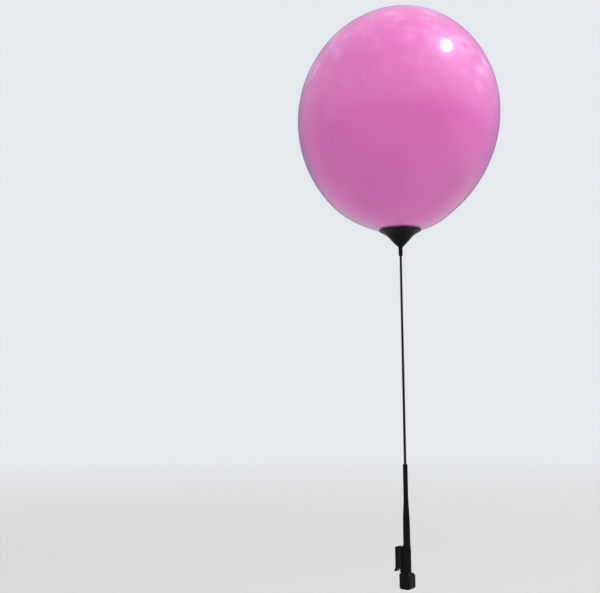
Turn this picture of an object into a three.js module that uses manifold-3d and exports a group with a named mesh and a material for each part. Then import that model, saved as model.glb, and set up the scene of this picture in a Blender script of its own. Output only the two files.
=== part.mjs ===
// A reusable balloon on a rod that clips over a car's side window.
// Millimetres, +Z up. The origin is the middle of the glass's top edge, where the clip hangs.
// -Y is outside the car, +X runs along the window towards the rear.
import * as THREE from "three";
import { mergeVertices } from "three/addons/utils/BufferGeometryUtils.js";
import Module from "manifold-3d";

const wasm = await Module();
wasm.setup();

// Heights of the joints between the pieces, above the glass's top edge
const cupRimZ = 653;
const stemFootZ = 599;
const mastTopZ = 169;
const clipFootZ = -77;

// Balloon: an egg turned round its axis. At a slope angle t from -90 to 90 degrees its height is
// middleZ + halfHeight sin t, and its radius is radius cos t (1 + topHeavy sin t + blunt sin^2 t)
const balloon = {
  radius: 214.3,
  middleZ: 890.2,
  halfHeight: 241.3,
  topHeavy: 0.026,
  blunt: -0.04,
  skin: 10,
  mouthAngle: THREE.MathUtils.degToRad(-77.5),
  lean: 0.03,
  leanTowards: new THREE.Vector2(0.616, -0.788),
  leanStartsAbove: 8,
  leanBlend: 40,
};

// Cup: a trumpet with a flared brim and a stem. Columns: depth under the rim, radius
const cupOutside = [
  [0, 44.2],
  [1.2, 44],
  [3.2, 40.4],
  [5.4, 36.2],
  [7.8, 32.4],
  [10.4, 28.8],
  [15, 24.2],
  [21, 19],
  [27, 13.8],
  [31.5, 9.3],
  [34.5, 6],
  [37, 4.3],
];
const cupInside = [
  [0, 42.6],
  [2.4, 38.2],
  [5.5, 31.8],
  [8.4, 27.6],
  [13, 22.8],
  [19, 17],
  [25, 11.6],
  [28.5, 8.4],
];
const throatFloorZ = cupRimZ - 30.5;
const throatRadius = 6;
const stemRadius = 4.3;
const socketWeb = 3;

const clearance = 0.3;

// Rod: a whip that thins upwards, into the mast below and the cup's stem above
const rod = { bottomRadius: 2.6, topRadius: 2.4, inMast: 120, tip: 0.5 };

// Mast: a moulded tube that widens at its foot. Columns: height, radius
const mastSections = [
  [mastTopZ, 4.3],
  [mastTopZ - 1.5, 4.8],
  [100, 4.85],
  [88, 5.4],
  [76, 6],
  [64, 6.6],
  [52, 7],
  [40, 7.1],
  [8, 7.3],
];
const mastCollar = { radius: 7.9, bottomZ: 3, topZ: 7.5 };
const mastSpigot = { radius: 6, bottomZ: -44 };
const mastY = -16;

// Clip: one moulding that hooks over the glass
const slotWidth = 5.4;
const padThickness = 1.6;
const clip = {
  width: 16,
  plateThickness: 3.4,
  bridgeThickness: 5,
  tongueThickness: 3,
  tongueLength: 38,
  lipReach: 3,
  lipHeight: 7,
  round: 2,
  barrelRadius: 8.2,
  barrelTopZ: 2.7,
  webWidth: 11,
  footTopZ: -46,
  footWidth: 22,
  footOuterY: -28,
  footChamfer: 4,
};
const padMargin = 1;
const padFaceY = slotWidth / 2;
const wallFaceY = padFaceY + padThickness + clearance;

const turnSegments = 56;
const rodSegments = 16;
const smallSegments = 32;
const weldDistance = 1e-4;

const blackPlastic = { color: "#0b0b0d", roughness: 0.38, metalness: 0 };
const finishes = {
  vinyl: new THREE.MeshStandardMaterial({ color: "#d86fb2", roughness: 0.22, metalness: 0 }),
  plug: new THREE.MeshStandardMaterial({ color: "#e9e4e6", roughness: 0.4, metalness: 0 }),
  cup: new THREE.MeshStandardMaterial(blackPlastic),
  fibreglass: new THREE.MeshStandardMaterial({ color: "#101013", roughness: 0.3, metalness: 0 }),
  moulding: new THREE.MeshStandardMaterial({ ...blackPlastic, roughness: 0.45 }),
  rubber: new THREE.MeshStandardMaterial({ color: "#161616", roughness: 0.8, metalness: 0 }),
};

// Shared vertices are merged and the empty triangles at the poles dropped
function weld(geometry) {
  geometry.deleteAttribute("normal");
  geometry.deleteAttribute("uv");
  const merged = mergeVertices(geometry, weldDistance);
  const old = merged.index.array;
  const kept = [];
  for (let i = 0; i < old.length; i += 3) {
    const [a, b, c] = [old[i], old[i + 1], old[i + 2]];
    if (a !== b && b !== c && c !== a) kept.push(a, b, c);
  }
  merged.setIndex(kept);
  return merged;
}

// A profile of [radius, height] pairs, turned round the Z axis
function turned(profile, segments = turnSegments) {
  const points = profile.map(([radius, height]) => new THREE.Vector2(radius, height));
  const geometry = new THREE.LatheGeometry(points, segments);
  geometry.rotateX(Math.PI / 2);
  return weld(geometry);
}

function toSolid(geometry) {
  const merged = weld(geometry.clone());
  const solid = new wasm.Manifold(new wasm.Mesh({
    numProp: 3,
    vertProperties: new Float32Array(merged.attributes.position.array),
    triVerts: new Uint32Array(merged.index.array),
  }));
  return solid;
}

function fromSolid(solid) {
  const mesh = solid.getMesh();
  const geometry = new THREE.BufferGeometry();
  geometry.setAttribute("position", new THREE.BufferAttribute(mesh.vertProperties, 3));
  geometry.setIndex(new THREE.BufferAttribute(mesh.triVerts, 1));
  return geometry;
}

// A box between two corners
function block(low, high) {
  const size = high.map((value, i) => value - low[i]);
  const geometry = new THREE.BoxGeometry(...size);
  geometry.translate(...low.map((value, i) => value + size[i] / 2));
  return geometry;
}

// A flat outline of [a, b] pairs given thickness along Z, before it is turned to its place
function slab(outline, depth) {
  const shape = new THREE.Shape(outline.map(([a, b]) => new THREE.Vector2(a, b)));
  return new THREE.ExtrudeGeometry(shape, { depth, bevelEnabled: false });
}

function part(name, geometry, finish) {
  const mesh = new THREE.Mesh(geometry, finish);
  mesh.name = name;
  return mesh;
}

// Rows of the egg from its mouth up to the crown, with its skin taken off by an inset
function eggRows(inset, rows) {
  const start = balloon.mouthAngle;
  const points = [];
  for (let i = 0; i < rows; i += 1) {
    const angle = start + ((Math.PI / 2 - start) * i) / rows;
    const rise = Math.sin(angle);
    const fullness = 1 + balloon.topHeavy * rise + balloon.blunt * rise ** 2;
    const radius = (balloon.radius - inset) * Math.cos(angle) * fullness;
    points.push([radius, balloon.middleZ + (balloon.halfHeight - inset) * rise]);
  }
  points.push([0, balloon.middleZ + balloon.halfHeight - inset]);
  return points;
}

// The balloon leans: each level is shifted in proportion to its height, easing to none at the cup
function leaned(geometry) {
  const place = geometry.attributes.position;
  for (let i = 0; i < place.count; i += 1) {
    const z = place.getZ(i);
    const ease = THREE.MathUtils.smoothstep(
      z,
      cupRimZ + balloon.leanStartsAbove,
      cupRimZ + balloon.leanStartsAbove + balloon.leanBlend,
    );
    const shift = balloon.lean * (z - balloon.middleZ) * ease;
    place.setX(i, place.getX(i) + shift * balloon.leanTowards.x);
    place.setY(i, place.getY(i) + shift * balloon.leanTowards.y);
  }
  return geometry;
}

const outerEgg = eggRows(0, 24);
const innerEgg = eggRows(balloon.skin, 16);

function envelope() {
  const profile = [...outerEgg, ...[...innerEgg].reverse(), outerEgg[0]];
  return leaned(turned(profile));
}

// The thick neck fills the mouth, lies in the cup's flare and is open down its middle
const neckBore = 3.4;
const neckFunnel = [
  [24, cupRimZ + 3],
  [10, cupRimZ - 9],
  [neckBore, cupRimZ - 16],
];
const plugFlange = { radius: throatRadius - clearance, thickness: 1.4 };
const plugStem = { radius: neckBore - clearance, length: 14, point: 1.2 };
const neckMouthZ = throatFloorZ + 2 * clearance + plugFlange.thickness;

function neck() {
  const flare = cupInside.map(([depth, radius]) => [radius - clearance, cupRimZ - depth + clearance]);
  const [mouthRadius, mouthZ] = outerEgg[0];
  const [innerRadius, innerMouthZ] = innerEgg[0];
  const profile = [
    [neckBore, neckMouthZ],
    [throatRadius - clearance, neckMouthZ],
    ...flare.reverse(),
    [mouthRadius - 2 * clearance, mouthZ - clearance],
    [innerRadius - 2 * clearance, innerMouthZ - clearance],
    ...neckFunnel,
    [neckBore, neckMouthZ],
  ];
  return leaned(turned(profile));
}

function plug() {
  const flangeZ = throatFloorZ + clearance;
  const shoulderZ = flangeZ + plugFlange.thickness;
  return turned([
    [0, flangeZ],
    [plugFlange.radius, flangeZ],
    [plugFlange.radius, shoulderZ],
    [plugStem.radius, shoulderZ],
    [plugStem.radius, shoulderZ + plugStem.length - plugStem.point],
    [plugStem.radius - plugStem.point, shoulderZ + plugStem.length],
    [0, shoulderZ + plugStem.length],
  ], smallSegments);
}

// The trumpet is open above, and its stem is open below for the rod
function cup() {
  const socketTopZ = throatFloorZ - socketWeb;
  const boreRadius = rod.topRadius + clearance;
  const underRim = ([depth, radius]) => [radius, cupRimZ - depth];
  return turned([
    [0, socketTopZ],
    [boreRadius, socketTopZ],
    [boreRadius, stemFootZ],
    [stemRadius, stemFootZ],
    ...cupOutside.map(underRim).reverse(),
    ...cupInside.map(underRim),
    [throatRadius, throatFloorZ],
    [0, throatFloorZ],
  ]);
}

function whip() {
  const bottomZ = mastTopZ - rod.inMast;
  const topZ = throatFloorZ - socketWeb - clearance;
  return turned([
    [0, bottomZ],
    [rod.bottomRadius - rod.tip, bottomZ],
    [rod.bottomRadius, bottomZ + rod.tip],
    [rod.bottomRadius, mastTopZ],
    [rod.topRadius, stemFootZ],
    [rod.topRadius, topZ - rod.tip],
    [rod.topRadius - rod.tip, topZ],
    [0, topZ],
  ], rodSegments);
}

// The mast is bored from its top for the rod, and its spigot fills the clip's barrel
function mast() {
  const boreRadius = rod.bottomRadius + clearance;
  const boreFloorZ = mastTopZ - rod.inMast - clearance;
  const outside = mastSections.map(([height, radius]) => [radius, height]).reverse();
  return turned([
    [0, mastSpigot.bottomZ],
    [mastSpigot.radius - 1, mastSpigot.bottomZ],
    [mastSpigot.radius, mastSpigot.bottomZ + 1],
    [mastSpigot.radius, mastCollar.bottomZ],
    [mastCollar.radius, mastCollar.bottomZ],
    [mastCollar.radius, mastCollar.topZ - 1],
    [mastCollar.radius - 0.8, mastCollar.topZ],
    ...outside,
    [boreRadius, mastTopZ],
    [boreRadius, boreFloorZ],
    [0, boreFloorZ],
  ], smallSegments);
}

// The hook's side outline in Y and Z: plate, bridge over the glass and tongue with its lip
function hookOutline() {
  const plateOuterY = -wallFaceY - clip.plateThickness;
  const tongueOuterY = wallFaceY + clip.tongueThickness;
  const round = clip.round;
  return [
    [-wallFaceY, clipFootZ + clip.footChamfer],
    [-wallFaceY, 0],
    [wallFaceY, 0],
    [wallFaceY, -clip.tongueLength],
    [wallFaceY + clip.lipReach, -clip.tongueLength - clip.lipHeight],
    [tongueOuterY + clip.lipReach, -clip.tongueLength - clip.lipHeight + round],
    [tongueOuterY, -clip.tongueLength + round],
    [tongueOuterY, clip.bridgeThickness - round],
    [tongueOuterY - round, clip.bridgeThickness],
    [plateOuterY + round, clip.bridgeThickness],
    [plateOuterY, clip.bridgeThickness - round],
    [plateOuterY, clipFootZ + clip.footChamfer],
  ].reverse();
}

// Turns a slab's outline from X and Y into Y and Z, and centres it across X
function standing(geometry, width) {
  geometry.rotateX(Math.PI / 2);
  geometry.rotateZ(Math.PI / 2);
  geometry.translate(-width / 2, 0, 0);
  return geometry;
}

function clipBody() {
  const hook = toSolid(standing(slab(hookOutline(), clip.width), clip.width));
  const chamfer = clip.footChamfer;
  const foot = toSolid(standing(slab([
    [clip.footOuterY + chamfer, clipFootZ],
    [-wallFaceY - 1, clipFootZ],
    [-wallFaceY, clipFootZ + 1],
    [-wallFaceY, clip.footTopZ],
    [clip.footOuterY + chamfer, clip.footTopZ],
    [clip.footOuterY, clip.footTopZ - chamfer],
    [clip.footOuterY, clipFootZ + chamfer],
  ], clip.footWidth), clip.footWidth));
  const barrelBottomZ = clip.footTopZ - 2;
  const barrel = new THREE.CylinderGeometry(
    clip.barrelRadius,
    clip.barrelRadius,
    clip.barrelTopZ - barrelBottomZ,
    smallSegments,
  );
  barrel.rotateX(Math.PI / 2);
  barrel.translate(0, mastY, (clip.barrelTopZ + barrelBottomZ) / 2);
  const web = block(
    [-clip.webWidth / 2, mastY, barrelBottomZ],
    [clip.webWidth / 2, -wallFaceY - 1, clip.barrelTopZ - 3],
  );
  const boreRadius = mastSpigot.radius + clearance;
  const boreFloorZ = mastSpigot.bottomZ - clearance;
  const bore = new THREE.CylinderGeometry(boreRadius, boreRadius, 100, smallSegments);
  bore.rotateX(Math.PI / 2);
  bore.translate(0, mastY, boreFloorZ + 50);
  const solid = hook.add(foot).add(toSolid(barrel)).add(toSolid(web)).subtract(toSolid(bore));
  return fromSolid(solid);
}

// Rubber pads between the moulding and the glass. Columns: name, side, width, bottom, top
const padTable = [
  ["outer_pad", -1, clip.width - 2 * padMargin, clip.footTopZ + padMargin, -4],
  ["foot_pad", -1, clip.footWidth - 2 * padMargin, clipFootZ + 2, clip.footTopZ - padMargin],
  ["inner_pad", 1, clip.width - 2 * padMargin, -clip.tongueLength + padMargin, -4],
];

function pad(side, width, bottomZ, topZ) {
  const faces = [side * padFaceY, side * (padFaceY + padThickness)].sort((a, b) => a - b);
  return block([-width / 2, faces[0], bottomZ], [width / 2, faces[1], topZ]);
}

const display = new THREE.Group();

const pole = new THREE.Group();
pole.position.set(0, mastY, 0);
pole.add(part("balloon_envelope", envelope(), finishes.vinyl));
pole.add(part("balloon_neck", neck(), finishes.vinyl));
pole.add(part("balloon_plug", plug(), finishes.plug));
pole.add(part("cup", cup(), finishes.cup));
pole.add(part("rod", whip(), finishes.fibreglass));
pole.add(part("mast", mast(), finishes.moulding));
display.add(pole);

display.add(part("clip_body", clipBody(), finishes.moulding));
for (const [name, side, width, bottomZ, topZ] of padTable) {
  display.add(part(name, pad(side, width, bottomZ, topZ), finishes.rubber));
}

export default display;
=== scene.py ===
# A pink reusable balloon in a flared cup, on a rod whose clip hooks over a car's side window.
# Metres, +Z up, -Y outside the car. The glass's top edge would lie along X through the origin.
import math

import bmesh
import bpy
import numpy as np
from mathutils import Matrix, Vector


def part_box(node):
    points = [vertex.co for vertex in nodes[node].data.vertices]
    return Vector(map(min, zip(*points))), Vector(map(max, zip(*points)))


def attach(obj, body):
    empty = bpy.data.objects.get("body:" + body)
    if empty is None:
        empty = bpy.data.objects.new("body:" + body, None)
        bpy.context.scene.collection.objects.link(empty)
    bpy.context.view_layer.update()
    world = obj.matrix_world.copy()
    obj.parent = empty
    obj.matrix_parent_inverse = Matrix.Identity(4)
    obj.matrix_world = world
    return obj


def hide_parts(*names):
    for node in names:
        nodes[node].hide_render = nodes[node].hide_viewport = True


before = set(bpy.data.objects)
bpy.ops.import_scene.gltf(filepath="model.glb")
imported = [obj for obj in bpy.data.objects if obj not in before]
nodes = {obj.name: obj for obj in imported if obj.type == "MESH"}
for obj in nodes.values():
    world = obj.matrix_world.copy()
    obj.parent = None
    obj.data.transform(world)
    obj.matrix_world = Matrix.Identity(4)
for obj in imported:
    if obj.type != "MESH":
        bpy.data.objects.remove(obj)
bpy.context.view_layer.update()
print("frame loaded with", len(nodes), "nodes")

mm = 0.001

# Places that the frame gives: the pole's axis, the cup's rim and the levels of the pieces
balloonLow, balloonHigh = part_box("balloon_envelope")
cupLow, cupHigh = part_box("cup")
mastLow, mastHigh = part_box("mast")
poleX = (cupLow.x + cupHigh.x) / 2
poleY = (cupLow.y + cupHigh.y) / 2
rimZ = cupHigh.z


# Helpers that the pieces share

def toLinear(hexColour):
    # sRGB to linear: c / 12.92 up to 0.04045, else ((c + 0.055) / 1.055) ^ 2.4
    channels = np.array([int(hexColour[i:i + 2], 16) for i in (1, 3, 5)]) / 255
    curved = ((channels + 0.055) / 1.055) ** 2.4
    linear = np.where(channels <= 0.04045, channels / 12.92, curved)
    return (*linear.tolist(), 1.0)


def firstOutput(node):
    return next(output for output in node.outputs if output.enabled)


def addNode(tree, kind, settings=None, links=None):
    # settings: property or socket (name or number) = value
    # links: socket (name or number) = a socket, or a node whose first live output is meant
    node = tree.nodes.new("ShaderNode" + kind)
    for name, value in (settings or {}).items():
        if isinstance(name, int) or name in node.inputs:
            node.inputs[name].default_value = value
        else:
            setattr(node, name, value)
    for name, source in (links or {}).items():
        if isinstance(source, bpy.types.Node):
            source = firstOutput(source)
        tree.links.new(source, node.inputs[name])
    return node


def newMaterial(name, settings):
    # A material of one Principled shader; settings are its sockets' constant values
    material = bpy.data.materials.new(name)
    material.use_nodes = True
    tree = material.node_tree
    shader = tree.nodes["Principled BSDF"]
    for socketName, value in settings.items():
        shader.inputs[socketName].default_value = value
    place = addNode(tree, "TexCoord").outputs["Object"]
    return material, tree, shader, place


def joinShader(tree, shader, sources):
    for socketName, node in sources.items():
        tree.links.new(firstOutput(node), shader.inputs[socketName])


def gridMesh(name, grid):
    # Quads over a grid of points, an array of rows by columns by 3. They leave it open both ways
    rows, columns = grid.shape[:2]
    row, column = np.meshgrid(np.arange(rows - 1), np.arange(columns - 1), indexing="ij")
    corner = (row * columns + column).ravel()
    faces = np.stack([corner, corner + 1, corner + 1 + columns, corner + columns], axis=1)
    mesh = bpy.data.meshes.new(name)
    mesh.from_pydata(grid.reshape(-1, 3).tolist(), [], faces.tolist())
    return mesh


def addPiece(name, mesh, body, material, slotName, replaced, crease, mergeDistance=1e-6):
    # Merged doubles close the seams and poles, all faces turn outwards, and edges that bend by
    # more than the crease, in degrees, stay sharp. The piece takes the place of a CAD node
    shell = bmesh.new()
    shell.from_mesh(mesh)
    bmesh.ops.remove_doubles(shell, verts=shell.verts, dist=mergeDistance)
    bmesh.ops.recalc_face_normals(shell, faces=shell.faces)
    shell.to_mesh(mesh)
    shell.free()
    mesh.shade_smooth()
    mesh.set_sharp_from_angle(angle=math.radians(crease))
    mesh.materials.clear()
    mesh.materials.append(material)
    piece = bpy.data.objects.new(name, mesh)
    bpy.context.scene.collection.objects.link(piece)
    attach(piece, body)
    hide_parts(replaced)
    return piece


def addGrid(name, grid, *rest):
    # The same from a grid of points
    addPiece(name, gridMesh(name, grid), *rest)


def around(segments):
    # Angles of a full turn, both ends included
    return np.linspace(0, 2 * np.pi, segments + 1)


def turned(radius, height, angle):
    # P(s, a) = (poleX + r cos a, poleY + r sin a, h), with r and h of s alone or of both
    radius = radius if radius.ndim == 2 else radius[:, None]
    height = height if height.ndim == 2 else height[:, None]
    radius, height, angle = np.broadcast_arrays(radius, height, angle[None, :])
    grid = np.stack([poleX + radius * np.cos(angle), poleY + radius * np.sin(angle), height], -1)
    grid[:, -1] = grid[:, 0]
    return grid


def eased(corners, rounding, spacing, arcPoints=6, arcReach=0.45):
    # A path through (u, v) corners; each corner B becomes the arc
    # (1-t)^2 A + 2 t (1-t) B + t^2 C between points `rounding` from it, or arcReach of the side
    # where that is short, and straight runs get a point every `spacing`
    corners = np.array(corners, float)
    path = [corners[:1]]
    for before, here, after in zip(corners[:-2], corners[1:-1], corners[2:]):
        ends = []
        for other in (before, after):
            side = np.linalg.norm(other - here)
            ends.append(here + (other - here) / side * min(rounding, side * arcReach))
        t = np.linspace(0, 1, arcPoints)[:, None]
        path.append((1 - t) ** 2 * ends[0] + 2 * t * (1 - t) * here + t ** 2 * ends[1])
    path.append(corners[-1:])
    path = np.concatenate(path)
    runs = [path[:1]]
    for start, end in zip(path[:-1], path[1:]):
        count = max(1, math.ceil(np.linalg.norm(end - start) / spacing))
        runs.append(start + (end - start) * np.linspace(0, 1, count + 1)[1:, None])
    path = np.concatenate(runs)
    return path[:, 0], path[:, 1]


# Camera

view = {
    "place": (-1.541, -0.952, 0.293),
    "azimuth": -51.98,         # degrees; 0 looks along +Y
    "pitch": 7.05,             # degrees, upwards
    "roll": 0.395,             # degrees, clockwise
    "lens": 51.9,              # mm
    "sensor": 36,              # mm wide
    "farthest": 500,           # m, so that the whole floor shows
}


def makeCamera():
    azimuth = math.radians(view["azimuth"])
    pitch = math.radians(view["pitch"])
    level = Vector((-math.sin(azimuth), math.cos(azimuth), 0))
    forward = level * math.cos(pitch) + Vector((0, 0, math.sin(pitch)))
    roll = Matrix.Rotation(math.radians(view["roll"]), 3, forward)
    right = roll @ Vector((math.cos(azimuth), math.sin(azimuth), 0))
    axes = Matrix((right, right.cross(forward), -forward)).transposed().to_4x4()
    camera = bpy.data.objects.new("camera", bpy.data.cameras.new("camera"))
    camera.matrix_world = Matrix.Translation(view["place"]) @ axes
    camera.data.lens = view["lens"]
    camera.data.sensor_width = view["sensor"]
    camera.data.clip_end = view["farthest"]
    bpy.context.scene.collection.objects.link(camera)
    bpy.context.scene.camera = camera


# Floor, room and key light

studio = {
    "floorZ": -1.4,
    "floorRings": (0, 2, 8, 30, 200),
    "floorSegments": 96,
    "floorColour": "#c8c7c5",
    "floorRoughness": 0.9,
    "fadeFrom": 7.0,           # m, the floor passes into the backdrop between these distances
    "fadeTo": 26.0,
    "backdrop": "#e6e9ed",
    "farFloor": 0.58,          # how bright that backdrop is in reflections on the object
    "ambient": 0.73,
    "tilt": 0.38,              # the room is this much brighter towards the front and the top
    "tiltTowards": (-0.78, -0.46, 0.20),
    "coolBehind": "#b4cbf4",   # tint of the light from the side away from there
    "coolFrom": (-0.35, -0.85),    # facing that side, from none to full
    "horizon": 0.55,           # brightness of the room's light at the floor's far edge
    "horizonBlend": 0.20,      # upward share of the direction at which that dimming ends
    "patch": 0.74,             # brightness of the soft patches overhead
    "patchScale": 5.5,         # of the noise, over the directions of the room
    "patchFlatness": 2,        # how much wider than high they are
    "patchNoise": (0.50, 0.64),    # noise at which they begin, and are full
    "patchAbove": (0.20, 0.55),    # upward share of the direction, from none to full
    "panelWarp": 0.20,         # how far the same noise bends the panels' soft edges
    "warpNoise": (0.3, 0.7),   # noise at which they are bent furthest, either way
    "panelAbove": (0.02, 0.20),    # upward share at which patches and panels begin, and are full
    "keyTowards": (0.22, -0.57, 0.79),
    "keyDistance": 30.0,
    "keyAngles": (7.0, 16.0),  # degrees across, and along the line to the camera
    "keyStrength": 0.95,       # W/m2 on a surface that faces it
}

# Soft panels of light: direction, half-width in degrees from full to nothing, brightness
panels = [
    ((0.20, -0.76, 0.58), (16, 48), 0.7),
    ((0.22, -0.57, 0.79), (4, 26), 0.4),
    ((0.85, -0.35, 0.35), (10, 45), 0.12),
]


def makeFloor():
    # A round floor P(r, a) = (r cos a, r sin a, floorZ), which fades far out into the backdrop
    radius = np.array(studio["floorRings"])[:, None]
    angle = around(studio["floorSegments"])
    x = radius * np.cos(angle)
    y = radius * np.sin(angle)
    mesh = gridMesh("floor", np.stack([x, y, np.full_like(x, studio["floorZ"])], -1))
    floor = bpy.data.objects.new("floor", mesh)
    bpy.context.scene.collection.objects.link(floor)
    material, tree, shader, place = newMaterial("painted studio floor", {
        "Base Color": toLinear(studio["floorColour"]),
        "Roughness": studio["floorRoughness"],
    })
    level = addNode(tree, "VectorMath", {"operation": "MULTIPLY", 1: (1, 1, 0)}, {0: place})
    distance = addNode(tree, "VectorMath", {"operation": "LENGTH"}, {0: level})
    fade = addNode(tree, "MapRange", {
        "interpolation_type": "SMOOTHSTEP",
        "From Min": studio["fadeFrom"],
        "From Max": studio["fadeTo"],
    }, {"Value": distance.outputs["Value"]})
    seen = addNode(tree, "LightPath").outputs["Is Camera Ray"]
    strength = addNode(tree, "MapRange", {"To Min": studio["farFloor"]}, {"Value": seen})
    glow = addNode(tree, "Emission", {"Color": toLinear(studio["backdrop"])},
                   {"Strength": strength})
    mixed = addNode(tree, "MixShader", {}, {0: fade, 1: shader, 2: glow})
    tree.links.new(mixed.outputs[0], tree.nodes["Material Output"].inputs["Surface"])
    mesh.materials.append(material)


def makeRoom():
    # What lights the object: a room that grows brighter towards the front and the top, with
    # soft patches overhead and soft-edged panels. The camera itself sees the plain backdrop
    world = bpy.data.worlds.new("studio")
    world.use_nodes = True
    tree = world.node_tree
    towards = addNode(tree, "TexCoord").outputs["Generated"]
    height = addNode(tree, "SeparateXYZ", {}, {0: towards}).outputs["Z"]
    drawn = addNode(tree, "Mapping", {"Scale": (1, 1, studio["patchFlatness"])},
                    {"Vector": towards})
    noise = addNode(tree, "TexNoise", {"Scale": studio["patchScale"], "Detail": 6.0},
                    {"Vector": drawn})
    warp = addNode(tree, "MapRange", {
        "From Min": studio["warpNoise"][0],
        "From Max": studio["warpNoise"][1],
        "To Min": -studio["panelWarp"],
        "To Max": studio["panelWarp"],
    }, {"Value": noise})
    patches = addNode(tree, "MapRange", {
        "interpolation_type": "SMOOTHSTEP",
        "From Min": studio["patchNoise"][0],
        "From Max": studio["patchNoise"][1],
        "To Max": studio["patch"],
    }, {"Value": noise})
    overhead = addNode(tree, "MapRange", {
        "interpolation_type": "SMOOTHSTEP",
        "From Min": studio["patchAbove"][0],
        "From Max": studio["patchAbove"][1],
    }, {"Value": height})
    bright = addNode(tree, "Math", {"operation": "MULTIPLY"}, {0: patches, 1: overhead})
    for direction, (inner, outer), brightness in panels:
        axis = Vector(direction).normalized()
        facing = addNode(tree, "VectorMath", {"operation": "DOT_PRODUCT", 1: axis}, {0: towards})
        bent = addNode(tree, "Math", {"operation": "ADD"}, {0: facing.outputs["Value"], 1: warp})
        panel = addNode(tree, "MapRange", {
            "interpolation_type": "SMOOTHSTEP",
            "From Min": math.cos(math.radians(outer)),
            "From Max": math.cos(math.radians(inner)),
            "To Max": brightness,
        }, {"Value": bent})
        bright = addNode(tree, "Math", {"operation": "ADD"}, {0: bright, 1: panel})
    above = addNode(tree, "MapRange", {
        "interpolation_type": "SMOOTHSTEP",
        "From Min": studio["panelAbove"][0],
        "From Max": studio["panelAbove"][1],
    }, {"Value": height})
    side = Vector(studio["tiltTowards"]).normalized()
    slope = addNode(tree, "VectorMath", {"operation": "DOT_PRODUCT", 1: side}, {0: towards})
    even = addNode(tree, "Math", {
        "operation": "MULTIPLY_ADD",
        1: studio["tilt"],
        2: studio["ambient"],
    }, {0: slope.outputs["Value"]})
    # Down to the horizon the room dims towards what the far floor gives back, so that no hard
    # line lies across the balloon's reflection
    risen = addNode(tree, "MapRange", {
        "interpolation_type": "SMOOTHSTEP",
        "From Max": studio["horizonBlend"],
    }, {"Value": height})
    dimmed = addNode(tree, "Mix", {2: studio["horizon"]}, {0: risen, 3: even})
    total = addNode(tree, "Math", {"operation": "MULTIPLY_ADD"}, {0: bright, 1: above, 2: dimmed})
    away = addNode(tree, "MapRange", {
        "interpolation_type": "SMOOTHSTEP",
        "From Min": studio["coolFrom"][0],
        "From Max": studio["coolFrom"][1],
    }, {"Value": slope.outputs["Value"]})
    tint = addNode(tree, "Mix", {
        "data_type": "RGBA",
        6: (1, 1, 1, 1),
        7: toLinear(studio["coolBehind"]),
    }, {0: away})
    room = addNode(tree, "Background", {}, {"Color": tint, "Strength": total})
    backdrop = tree.nodes["Background"]
    backdrop.inputs["Color"].default_value = toLinear(studio["backdrop"])
    seen = addNode(tree, "LightPath").outputs["Is Camera Ray"]
    mixed = addNode(tree, "MixShader", {}, {0: seen, 1: room, 2: backdrop})
    tree.links.new(mixed.outputs[0], tree.nodes["World Output"].inputs["Surface"])
    bpy.context.scene.world = world


def makeKey():
    # A soft box that is long towards the camera, so that its reflection near the balloon's limb,
    # where a round lamp's would be squeezed, is round. At a distance d a lamp of power P gives
    # P / (pi d^2)
    distance = studio["keyDistance"]
    lamp = bpy.data.lights.new("key", "AREA")
    lamp.shape = "ELLIPSE"
    lamp.size, lamp.size_y = [2 * distance * math.tan(math.radians(angle / 2))
                              for angle in studio["keyAngles"]]
    lamp.energy = studio["keyStrength"] * math.pi * distance ** 2
    towards = Vector(studio["keyTowards"]).normalized()
    middle = Vector((poleX, poleY, (balloonLow.z + balloonHigh.z) / 2))
    toCamera = Vector(view["place"]) - middle
    long = (toCamera - toCamera.dot(towards) * towards).normalized()
    axes = Matrix((long.cross(towards), long, towards)).transposed().to_4x4()
    key = bpy.data.objects.new("key", lamp)
    key.matrix_world = Matrix.Translation(middle + distance * towards) @ axes
    key.visible_camera = False
    bpy.context.scene.collection.objects.link(key)


makeCamera()
makeFloor()
makeRoom()
makeKey()
bpy.context.scene.view_settings.view_transform = "Standard"
print("camera, floor and light made")


# Balloon: rotationally moulded soft PVC, coloured right through, its skin polished by the mould

balloon = {
    "radius": 214.3 * mm,
    "middleZ": 890.2 * mm,
    "halfHeight": 241.3 * mm,
    "topHeavy": 0.026,         # fuller above the middle than below it
    "blunt": -0.04,            # below 0 it is slimmer towards both ends
    "mouthAngle": -77.5,       # degrees
    "lean": 0.03,              # sideways for each metre of height
    "leanTowards": (0.616, -0.788),
    "leanStart": 8 * mm,       # above the rim
    "leanBlend": 40 * mm,
    "rows": 200,
    "segments": 256,
    "waveDepth": 0.3 * mm,     # slow unevenness of the wall
    "puckers": 26,             # at the mouth, where the wall is gathered into the neck
    "puckerDepth": 0.5 * mm,
    "puckerFade": 10 * mm,
    "partingAngle": 193.5,     # degrees; the mould's two halves met here and opposite
    "partingHeight": 0.45 * mm,
    "partingWidth": 1.1 * mm,
    "partingEnd": 0.25,        # share of the radius under which the line fades out
    "crowding": 0.46,          # of the columns at the parting lines; 0 spaces them evenly
    "floorRows": 8,
    "floorRise": 2 * mm,
}

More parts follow.
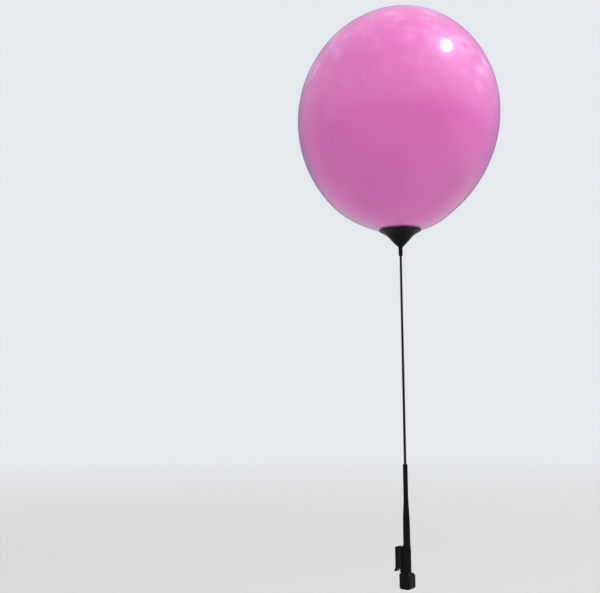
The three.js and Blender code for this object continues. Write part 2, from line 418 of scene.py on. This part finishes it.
vinyl = {
    "deep": "#d866b7",
    "main": "#de6dbe",
    "ior": 1.5,
    "specular": 0.25,
    "inward": 0.4,             # share of the light that goes into the wall
    "depth": 0.045,            # m that it spreads there, and the shares of red, green and blue
    "depthByColour": (1.0, 0.42, 0.75),
    "cloud": 0.14,             # m across, slow changes of the wall's thickness
    "streak": 0.018,           # m across, and how much longer along the height
    "streakLength": 12,
    "streakShare": 0.08,
    "thickness": (0.3, 0.68),  # noise at which the wall is deep, and is main
    "haze": (0.26, 0.36),      # roughness under the polished skin
    "skin": 0.85,              # strength of that skin, and its roughness
    "polish": 0.12,
    "ripple": 0.028,           # m across
    "rippleScale": 0.35,       # drawn out along the height
    "rippleDepth": 0.22 * mm,
    "peel": 2.4 * mm,          # orange peel left by the mould
    "peelDepth": 0.006 * mm,
}


def makeVinyl():
    # Soft PVC lets light in and spreads it, so its shaded side stays pink and is never grey
    material, tree, shader, place = newMaterial("soft PVC film", {
        "IOR": vinyl["ior"],
        "Specular IOR Level": vinyl["specular"],
        "Subsurface Weight": vinyl["inward"],
        "Subsurface Radius": vinyl["depthByColour"],
        "Subsurface Scale": vinyl["depth"],
        "Coat Weight": vinyl["skin"],
        "Coat Roughness": vinyl["polish"],
        "Coat IOR": vinyl["ior"],
    })
    cloud = addNode(tree, "TexNoise", {"Scale": 1 / vinyl["cloud"], "Detail": 1.5},
                    {"Vector": place})
    drawn = addNode(tree, "Mapping", {"Scale": (1, 1, 1 / vinyl["streakLength"])},
                    {"Vector": place})
    streak = addNode(tree, "TexNoise", {"Scale": 1 / vinyl["streak"], "Detail": 2.0},
                     {"Vector": drawn})
    wall = addNode(tree, "Mix", {0: vinyl["streakShare"]}, {2: cloud, 3: streak})
    thin = addNode(tree, "MapRange", {
        "interpolation_type": "SMOOTHERSTEP",
        "From Min": vinyl["thickness"][0],
        "From Max": vinyl["thickness"][1],
    }, {"Value": wall})
    colour = addNode(tree, "Mix", {
        "data_type": "RGBA",
        6: toLinear(vinyl["deep"]),
        7: toLinear(vinyl["main"]),
    }, {0: thin})
    haze = addNode(tree, "MapRange", {"To Min": vinyl["haze"][0], "To Max": vinyl["haze"][1]},
                   {"Value": cloud})
    tall = addNode(tree, "Mapping", {"Scale": (1, 1, vinyl["rippleScale"])}, {"Vector": place})
    ripple = addNode(tree, "TexNoise", {"Scale": 1 / vinyl["ripple"], "Detail": 0.5},
                     {"Vector": tall})
    rippled = addNode(tree, "Bump", {"Distance": vinyl["rippleDepth"]}, {"Height": ripple})
    peel = addNode(tree, "TexNoise", {"Scale": 1 / vinyl["peel"], "Detail": 0.5},
                   {"Vector": place})
    peeled = addNode(tree, "Bump", {"Distance": vinyl["peelDepth"]},
                     {"Height": peel, "Normal": rippled})
    joinShader(tree, shader, {
        "Base Color": colour,
        "Roughness": haze,
        "Normal": peeled,
        "Coat Normal": peeled,
    })
    return material


def leaned(grid):
    # Each level moves sideways by lean (z - middle) e, where e = 3 t^2 - 2 t^3 rises over the rim
    t = np.clip((grid[..., 2] - rimZ - balloon["leanStart"]) / balloon["leanBlend"], 0, 1)
    shift = balloon["lean"] * (grid[..., 2] - balloon["middleZ"]) * t * t * (3 - 2 * t)
    return grid + shift[..., None] * np.array([*balloon["leanTowards"], 0])


def eggRows():
    # r = R cos s (1 + topHeavy sin s + blunt sin^2 s), z = middle + halfHeight sin s, with s from
    # the mouth to the crown
    s = np.linspace(math.radians(balloon["mouthAngle"]), math.pi / 2, balloon["rows"])
    rise = np.sin(s)
    fullness = 1 + balloon["topHeavy"] * rise + balloon["blunt"] * rise ** 2
    radius = balloon["radius"] * np.cos(s) * fullness
    return s, radius, balloon["middleZ"] + balloon["halfHeight"] * rise


def makeBalloon(finish):
    # r(s, a) = egg(s) + waves(s, a) + parting lines(s, a) - puckers(s, a), where
    # waves = depth cos^2 s times two slow waves around, whose phases are free choices,
    # puckers = depth (1 - cos n a) / 2 exp(-(z - mouth) / fade), and a parting line is a ridge
    # height exp(-(r da / width)^2) along two opposite meridians
    s, radius, height = eggRows()
    # Columns crowd together at the two parting lines, so that the fine ridge has its shape
    angle = around(balloon["segments"])
    parting = math.radians(balloon["partingAngle"])
    angle = angle - balloon["crowding"] * np.sin(2 * (angle - parting))
    a, s = angle[None, :], s[:, None]
    r, z = radius[:, None], height[:, None]
    waves = np.sin(2 * a + 0.7) * np.cos(1.6 * s + 0.4) + 0.6 * np.sin(3 * a - 1.1 + 0.8 * s)
    waves = waves * balloon["waveDepth"] * np.cos(s) ** 2
    aside = r * np.sin(a - parting) / balloon["partingWidth"]
    ridge = balloon["partingHeight"] * np.exp(-aside ** 2)
    ridge = ridge * np.clip(np.cos(s) / balloon["partingEnd"], 0, 1)
    gathers = (1 - np.cos(balloon["puckers"] * a)) / 2
    puckers = balloon["puckerDepth"] * gathers * np.exp((z[:1] - z) / balloon["puckerFade"])
    skin = turned(r + waves + ridge - puckers, height, angle)
    # Under the mouth a shallow floor closes the air in: its radius runs to 0 inside the neck
    share = np.linspace(0, 1, balloon["floorRows"])[:, None]
    mouth = (r + ridge - puckers)[:1]
    under = turned(share * mouth, z[0] + balloon["floorRise"] * (1 - share ** 2), angle)
    addGrid("balloon_skin", leaned(np.concatenate([under[:-1], skin])), "balloon", finish,
            "balloon_vinyl", "balloon_envelope", 60)


softVinyl = makeVinyl()
makeBalloon(softVinyl)
print("balloon made")


# Cup, and the gathered neck and plug that lie in it

cup = {
    # depth under the rim and radius, in mm
    "outside": [(0, 44.2), (1.2, 44), (3.2, 40.4), (5.4, 36.2), (7.8, 32.4), (10.4, 28.8),
                (15, 24.2), (21, 19), (27, 13.8), (31.5, 9.3), (34.5, 6), (37, 4.3)],
    "inside": [(0, 42.6), (2.4, 38.2), (5.5, 31.8), (8.4, 27.6), (13, 22.8), (19, 17),
               (25, 11.6), (28.5, 8.4)],
    "throatDepth": 30.5 * mm,
    "throatRadius": 6 * mm,
    "web": 3 * mm,             # between the throat and the stem's bore
    "bore": 2.7 * mm,
    "rounding": 0.9 * mm,
    "spacing": 1.2 * mm,
    "segments": 168,
}

neck = {
    "gap": 0.4 * mm,           # from the cup's flare
    "mouthGap": 0.6 * mm,      # from the edge of the balloon's mouth
    "lipWidth": 2 * mm,        # of the lip that stands up inside the mouth
    "lipTop": 1.6 * mm,        # above the mouth, at the lip's inner side
    "lipEdge": 1 * mm,         # above the mouth, at its outer side
    "dish": 1 * mm,            # how far the middle of the top lies under the rim
    "dishShare": 0.7,          # of the mouth's radius, where the top is level with the rim
    "rim": 1 * mm,             # height of the straight rim round the plug
    "bore": 3.4 * mm,
    "boreDepth": 9 * mm,
    "rounding": 0.8 * mm,
    "spacing": 1.2 * mm,
    "pleats": 20,
    "pleatDepth": 1.0 * mm,
    "pleatsFrom": 5 * mm,      # radius at which they begin
    "pleatsOver": 14 * mm,     # until they are full
    "pleatsUnder": 8 * mm,     # under the rim, over which they fade out
    "segments": 200,
}

plug = {
    "colours": ("#e9e4e6", "#d9d0c6"),
    "ior": 1.51,
    "inward": 0.15,            # share of the light that goes into the plastic
    "depth": 2 * mm,
    "stain": 1 / 300,          # m across
    "dull": (0.35, 0.5),       # roughness
    "flange": 5.6 * mm,
    "flangeThickness": 1.4 * mm,
    "notches": 12,
    "notchDepth": 0.35 * mm,
    "notchFrom": 0.8,          # share of the flange's radius
    "notchPower": 8,           # the higher, the narrower they are
    "stem": 3.1 * mm,
    # the stem's two barbs: further out than the stem, and height above the flange, in mm
    "barbs": [(-0.3, 0), (0, 2), (-0.4, 5), (0, 5.3), (-0.5, 9), (-0.1, 9.3), (-1.2, 14)],
    "rounding": 0.3 * mm,
    "spacing": 0.8 * mm,
    "segments": 120,
}

moulded = {
    # two blacks, roughness and depth of the grain
    "cup": ("#050506", "#0b0b0d", 0.30, 0.004 * mm),
    "clip": ("#050506", "#0c0c0e", 0.36, 0.012 * mm),
    "ior": 1.49,
    "specular": 0.10,          # low, because the real pieces look so black
    "flow": 12 * mm,           # across, marks where the plastic ran into the mould
    "flowScale": 0.25,         # drawn out along the height
    "flowDepth": 0.03 * mm,
    "flowDull": 0.1,           # how far they change the roughness either way
    "grain": 0.6 * mm,         # spark-eroded texture, drawn coarse so that it shows
    "dust": "#45423d",
    "dustShare": 0.05,
    "dustPatch": 6.25 * mm,
    "dustNoise": (0.5, 0.85),  # noise at which it begins, and is full
}


def underRim(sections, inset=0.0):
    # Points (r, z) of a wall, moved in and up by the inset
    return [(radius * mm - inset, rimZ - depth * mm + inset) for depth, radius in sections]


def makeMoulded(name, finish):
    # Black moulded thermoplastic: even and nearly dry, with faint flow marks, a fine grain
    # from the spark-eroded mould, and dust that has settled in patches
    dark, light, roughness, grainDepth = finish
    material, tree, shader, place = newMaterial(name, {
        "IOR": moulded["ior"],
        "Specular IOR Level": moulded["specular"],
    })
    tall = addNode(tree, "Mapping", {"Scale": (1, 1, moulded["flowScale"])}, {"Vector": place})
    flow = addNode(tree, "TexNoise", {"Scale": 1 / moulded["flow"], "Detail": 3.0},
                   {"Vector": tall})
    patches = addNode(tree, "TexNoise", {
        "Scale": 1 / moulded["dustPatch"],
        "Detail": 6.0,
        "Roughness": 0.7,
    }, {"Vector": place})
    settled = addNode(tree, "MapRange", {
        "interpolation_type": "SMOOTHSTEP",
        "From Min": moulded["dustNoise"][0],
        "From Max": moulded["dustNoise"][1],
        "To Max": moulded["dustShare"],
    }, {"Value": patches})
    tint = addNode(tree, "Mix", {
        "data_type": "RGBA",
        6: toLinear(dark),
        7: toLinear(light),
    }, {0: flow})
    dusty = addNode(tree, "Mix", {"data_type": "RGBA", 7: toLinear(moulded["dust"])},
                    {0: settled, 6: tint})
    dull = addNode(tree, "MapRange", {
        "To Min": roughness - moulded["flowDull"],
        "To Max": roughness + moulded["flowDull"],
    }, {"Value": flow})
    flowed = addNode(tree, "Bump", {"Distance": moulded["flowDepth"]}, {"Height": flow})
    grain = addNode(tree, "TexNoise", {"Scale": 1 / moulded["grain"], "Detail": 2.0},
                    {"Vector": place})
    grained = addNode(tree, "Bump", {"Distance": grainDepth}, {"Height": grain, "Normal": flowed})
    joinShader(tree, shader, {"Base Color": dusty, "Roughness": dull, "Normal": grained})
    return material


def makePlugPlastic():
    # White polyethylene, waxy, a little yellowed
    material, tree, shader, place = newMaterial("white moulded polyethylene", {
        "IOR": plug["ior"],
        "Subsurface Weight": plug["inward"],
        "Subsurface Scale": plug["depth"],
    })
    stain = addNode(tree, "TexNoise", {"Scale": 1 / plug["stain"], "Detail": 3.0},
                    {"Vector": place})
    colour = addNode(tree, "Mix", {
        "data_type": "RGBA",
        6: toLinear(plug["colours"][0]),
        7: toLinear(plug["colours"][1]),
    }, {0: stain})
    dull = addNode(tree, "MapRange", {"To Min": plug["dull"][0], "To Max": plug["dull"][1]},
                   {"Value": stain})
    joinShader(tree, shader, {"Base Color": colour, "Roughness": dull})
    return material


def makeCup(finish):
    # The wall's closed profile, turned: from the stem's bore out, over the brim and in to the
    # throat
    throatZ = rimZ - cup["throatDepth"]
    boreTop = throatZ - cup["web"]
    outerWall = underRim(cup["outside"])[::-1]
    radius, height = eased([
        (0, boreTop),
        (cup["bore"], boreTop),
        (cup["bore"], cupLow.z),
        (outerWall[0][0], cupLow.z),
        *outerWall,
        *underRim(cup["inside"]),
        (cup["throatRadius"], throatZ),
        (0, throatZ),
    ], cup["rounding"], cup["spacing"])
    addGrid("trumpet_cup", turned(radius, height, around(cup["segments"])), "cup", finish,
            "cup_plastic", "cup", 50)


def makeNeck(finish):
    # The cup's flare less a gap, turned: r(s, a) = r(s) - pleatDepth f(s) (1 - cos n a) / 2,
    # where f fades the pleats out towards the mouth above and the thick rim below
    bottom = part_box("balloon_neck")[0].z
    eggRadius, eggHeight = eggRows()[1:]
    mouthRadius = eggRadius[0] - neck["mouthGap"]
    mouthZ = eggHeight[0]
    rimRadius = cup["throatRadius"] - neck["gap"]
    radius, height = eased([
        (0, rimZ - neck["dish"]),
        (neck["dishShare"] * mouthRadius, rimZ),
        (mouthRadius - neck["lipWidth"], mouthZ + neck["lipTop"]),
        (mouthRadius, mouthZ + neck["lipEdge"]),
        *underRim(cup["inside"], neck["gap"]),
        (rimRadius, bottom + neck["rim"]),
        (rimRadius, bottom),
        (neck["bore"], bottom),
        (neck["bore"], bottom + neck["boreDepth"]),
        (0, bottom + neck["boreDepth"]),
    ], neck["rounding"], neck["spacing"])
    angle = around(neck["segments"])
    r, z = radius[:, None], height[:, None]
    outwards = np.clip((r - neck["pleatsFrom"]) / neck["pleatsOver"], 0, 1)
    fade = outwards * np.clip((rimZ - z) / neck["pleatsUnder"], 0, 1)
    pleats = neck["pleatDepth"] * fade * (1 - np.cos(neck["pleats"] * angle[None, :])) / 2
    addGrid("neck_pleats", leaned(turned(r - pleats, height, angle)), "balloon", finish,
            "balloon_vinyl", "balloon_neck", 50)


def makePlug(finish):
    # A turned plug whose flange is notched all round: r(s, a) = r(s) - notch e(r) cos^8(n a),
    # where e rises from 0 to 1 over the flange's outer part
    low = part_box("balloon_plug")[0].z
    shoulder = low + plug["flangeThickness"]
    barbs = [(plug["stem"] + out * mm, shoulder + up * mm) for out, up in plug["barbs"]]
    radius, height = eased([
        (0, low),
        (plug["flange"], low),
        (plug["flange"], shoulder),
        *barbs,
        (0, barbs[-1][1]),
    ], plug["rounding"], plug["spacing"])
    angle = around(plug["segments"])
    r = radius[:, None]
    inner = plug["flange"] * plug["notchFrom"]
    edge = np.clip((r - inner) / (plug["flange"] - inner), 0, 1)
    teeth = np.cos(plug["notches"] * angle[None, :]) ** plug["notchPower"]
    notches = plug["notchDepth"] * edge * teeth
    addGrid("valve_plug", turned(r - notches, height, angle), "balloon", finish,
            "plug_plastic", "balloon_plug", 40)


clipPlastic = makeMoulded("black moulded ABS", moulded["clip"])
makeCup(makeMoulded("black moulded polypropylene", moulded["cup"]))
makeNeck(softVinyl)
makePlug(makePlugPlastic())
print("cup, neck and plug made")


# Rod and mast

rod = {
    "colours": ("#050506", "#101013"),
    "ior": 1.52,
    "specular": 0.15,
    "fibre": 0.7 * mm,         # across, drawn coarse so that it shows, and its length
    "fibreLength": 100,
    "fibreDepth": 0.008 * mm,
    "gloss": (0.22, 0.36),     # roughness
    "bottomRadius": 2.6 * mm,
    "topRadius": 2.4 * mm,
    "tip": 0.5 * mm,
    "rounding": 0.2 * mm,
    "spacing": 20 * mm,
    "segments": 48,
}

mast = {
    # height above the glass's edge and radius, in mm
    "sections": [(8, 7.3), (40, 7.1), (52, 7), (64, 6.6), (76, 6), (88, 5.4), (100, 4.85),
                 (167.5, 4.8)],
    "topRadius": 4.3 * mm,
    "bore": 2.9 * mm,
    "boreGap": 0.3 * mm,       # under the rod's end
    "wall": 1 * mm,            # what lies further out from the bore is the outside
    "spigot": 6 * mm,
    "collar": 7.9 * mm,
    "collarFrom": 3 * mm,
    "collarTo": 7.5 * mm,
    "grips": 24,               # fine flutes round the collar
    "gripDepth": 0.25 * mm,
    "gripHeight": 1.6 * mm,    # up and down from the collar's middle
    "gripEdge": 0.4 * mm,      # how far they reach in from the collar's face
    "seamHeight": 0.16 * mm,   # the mould's parting line, along both sides
    "seamWidth": 0.5 * mm,
    "seamFrom": 0.3 * mm,      # above the collar
    "rounding": 0.7 * mm,
    "spacing": 2.5 * mm,
    "segments": 144,
}


def makeFibreglass():
    # Pultruded glass fibre in black resin: hard gloss over fine lengthwise fibres
    material, tree, shader, place = newMaterial("pultruded fibreglass", {
        "IOR": rod["ior"],
        "Specular IOR Level": rod["specular"],
    })
    drawn = addNode(tree, "Mapping", {"Scale": (1, 1, 1 / rod["fibreLength"])},
                    {"Vector": place})
    fibres = addNode(tree, "TexNoise", {"Scale": 1 / rod["fibre"], "Detail": 2.0},
                     {"Vector": drawn})
    colour = addNode(tree, "Mix", {
        "data_type": "RGBA",
        6: toLinear(rod["colours"][0]),
        7: toLinear(rod["colours"][1]),
    }, {0: fibres})
    gloss = addNode(tree, "MapRange", {"To Min": rod["gloss"][0], "To Max": rod["gloss"][1]},
                    {"Value": fibres})
    raised = addNode(tree, "Bump", {"Distance": rod["fibreDepth"]}, {"Height": fibres})
    joinShader(tree, shader, {"Base Color": colour, "Roughness": gloss, "Normal": raised})
    return material


def makeRod(finish):
    # A slim cone turned about the pole's axis, its two ends bevelled by the tip
    low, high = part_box("rod")
    radius, height = eased([
        (0, low.z),
        (rod["bottomRadius"] - rod["tip"], low.z),
        (rod["bottomRadius"], low.z + rod["tip"]),
        (rod["bottomRadius"], mastHigh.z),
        (rod["topRadius"], cupLow.z),
        (rod["topRadius"], high.z - rod["tip"]),
        (rod["topRadius"] - rod["tip"], high.z),
        (0, high.z),
    ], rod["rounding"], rod["spacing"])
    addGrid("rod_whip", turned(radius, height, around(rod["segments"])), "rod", finish,
            "fibreglass", "rod", 50)


def makeMast(finish):
    # Turned, with two parting lines and a fluted collar:
    # r(s, a) = r(s) + seam exp(-(r sin a / width)^2) - flute (1 - cos n a) / 2 on the collar
    sections = [(radius * mm, height * mm) for height, radius in mast["sections"]]
    collar = mast["collar"]
    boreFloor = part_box("rod")[0].z - mast["boreGap"]
    radius, height = eased([
        (0, mastLow.z),
        (mast["spigot"], mastLow.z),
        (mast["spigot"], mast["collarFrom"]),
        (collar, mast["collarFrom"]),
        (collar, mast["collarTo"]),
        *sections,
        (mast["topRadius"], mastHigh.z),
        (mast["bore"], mastHigh.z),
        (mast["bore"], boreFloor),
        (0, boreFloor),
    ], mast["rounding"], mast["spacing"])
    angle = around(mast["segments"])
    r, z, a = radius[:, None], height[:, None], angle[None, :]
    outside = (r > mast["bore"] + mast["wall"]) & (z > mast["collarTo"] + mast["seamFrom"])
    seamHeight = np.where(outside, mast["seamHeight"], 0)
    seam = seamHeight * np.exp(-(r * np.sin(a) / mast["seamWidth"]) ** 2)
    middle = (mast["collarFrom"] + mast["collarTo"]) / 2
    onCollar = np.exp(-((z - middle) / mast["gripHeight"]) ** 6) * (r > collar - mast["gripEdge"])
    flutes = mast["gripDepth"] * onCollar * (1 - np.cos(mast["grips"] * a)) / 2
    addGrid("tapered_mast", turned(r + seam - flutes, height, angle), "clip", finish,
            "clip_plastic", "mast", 40)


makeRod(makeFibreglass())
makeMast(clipPlastic)
print("rod and mast made")


# Clip and its rubber pads

clip = {
    "grid": 0.5 * mm,          # spacing of the skin that the moulding is made over
    "rounding": 24,            # smoothing steps, which round every edge and inner corner
    "roundingShare": 0.5,      # how far each step goes towards the neighbours' middle
    "crease": 30,              # degrees
}

pads = {
    "colours": ("#0a0a0a", "#151514"),
    "ior": 1.52,
    "specular": 0.3,
    "bloom": 4 * mm,           # across
    "dull": (0.65, 0.85),      # roughness
    "grain": 0.8 * mm,
    "grainDepth": 0.03 * mm,
    "ribs": 1.0 / (3.2 * mm),  # per metre
    "ribDepth": 0.45 * mm,
    "ribRows": 160,
    "edge": 0.35 * mm,
    # how each end is closed: how far in, as a share of the edge, and share of the outline
    "ends": [(0, 0), (0, 0.75), (0.3, 0.93), (1, 1)],
}


def makeRubber():
    # Soft black rubber with a grey bloom, dry to the touch
    material, tree, shader, place = newMaterial("moulded black rubber", {
        "IOR": pads["ior"],
        "Specular IOR Level": pads["specular"],
    })
    bloom = addNode(tree, "TexNoise", {
        "Scale": 1 / pads["bloom"],
        "Detail": 5.0,
        "Roughness": 0.65,
    }, {"Vector": place})
    colour = addNode(tree, "Mix", {
        "data_type": "RGBA",
        6: toLinear(pads["colours"][0]),
        7: toLinear(pads["colours"][1]),
    }, {0: bloom})
    dull = addNode(tree, "MapRange", {"To Min": pads["dull"][0], "To Max": pads["dull"][1]},
                   {"Value": bloom})
    grain = addNode(tree, "TexNoise", {"Scale": 1 / pads["grain"], "Detail": 2.0},
                    {"Vector": place})
    grained = addNode(tree, "Bump", {"Distance": pads["grainDepth"]}, {"Height": grain})
    joinShader(tree, shader, {"Base Color": colour, "Roughness": dull, "Normal": grained})
    return material


def makeClip(finish):
    # The CAD's own form under one even skin, whose edges and inner corners are then smoothed as
    # round as a mould leaves them
    mesh = nodes["clip_body"].data.copy()
    piece = addPiece("clip_moulding", mesh, "clip", finish, "clip_plastic", "clip_body",
                     clip["crease"])
    skin = piece.modifiers.new("even skin", "REMESH")
    skin.mode = "VOXEL"
    skin.voxel_size = clip["grid"]
    skin.use_smooth_shade = True
    rounding = piece.modifiers.new("rounded edges", "SMOOTH")
    rounding.factor = clip["roundingShare"]
    rounding.iterations = clip["rounding"]


def makePad(nodeName, finish):
    # A block whose face on the glass side is ribbed across: y(z) = face -+ ribDepth sin^2(pi n z),
    # its outline in Y and Z carried along X and drawn in at both ends
    low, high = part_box(nodeName)
    edge, ribDepth = pads["edge"], pads["ribDepth"]
    towardsGlass = 1 if low.y + high.y < 0 else -1
    face, back = (high.y, low.y) if towardsGlass > 0 else (low.y, high.y)
    z = np.linspace(low.z + edge, high.z - edge, pads["ribRows"])
    ribs = ribDepth * np.sin(np.pi * pads["ribs"] * (z - low.z)) ** 2
    front = np.stack([face - towardsGlass * ribs, z], -1)
    groove = face - towardsGlass * ribDepth
    top = np.array([[groove, high.z], [back, high.z]])
    bottom = np.array([[back, low.z], [groove, low.z]])
    outline = np.concatenate([front, top, bottom, front[:1]])
    # Both ends shrink towards the outline's middle line, which closes them
    middle = np.array([(face + back) / 2, 0]) + outline * np.array([0, 1])
    near = [(low.x + share * edge, size) for share, size in pads["ends"]]
    far = [(high.x - share * edge, size) for share, size in pads["ends"][::-1]]
    rows = []
    for x, size in near + far:
        ring = middle + (outline - middle) * size
        rows.append(np.column_stack([np.full(len(ring), x), ring]))
    addGrid(nodeName + "_ribbed", np.stack(rows), "clip", finish, "pad_rubber", nodeName, 40)


makeClip(clipPlastic)
padRubber = makeRubber()
for padName in ("outer_pad", "foot_pad", "inner_pad"):
    makePad(padName, padRubber)
print("clip and pads made")
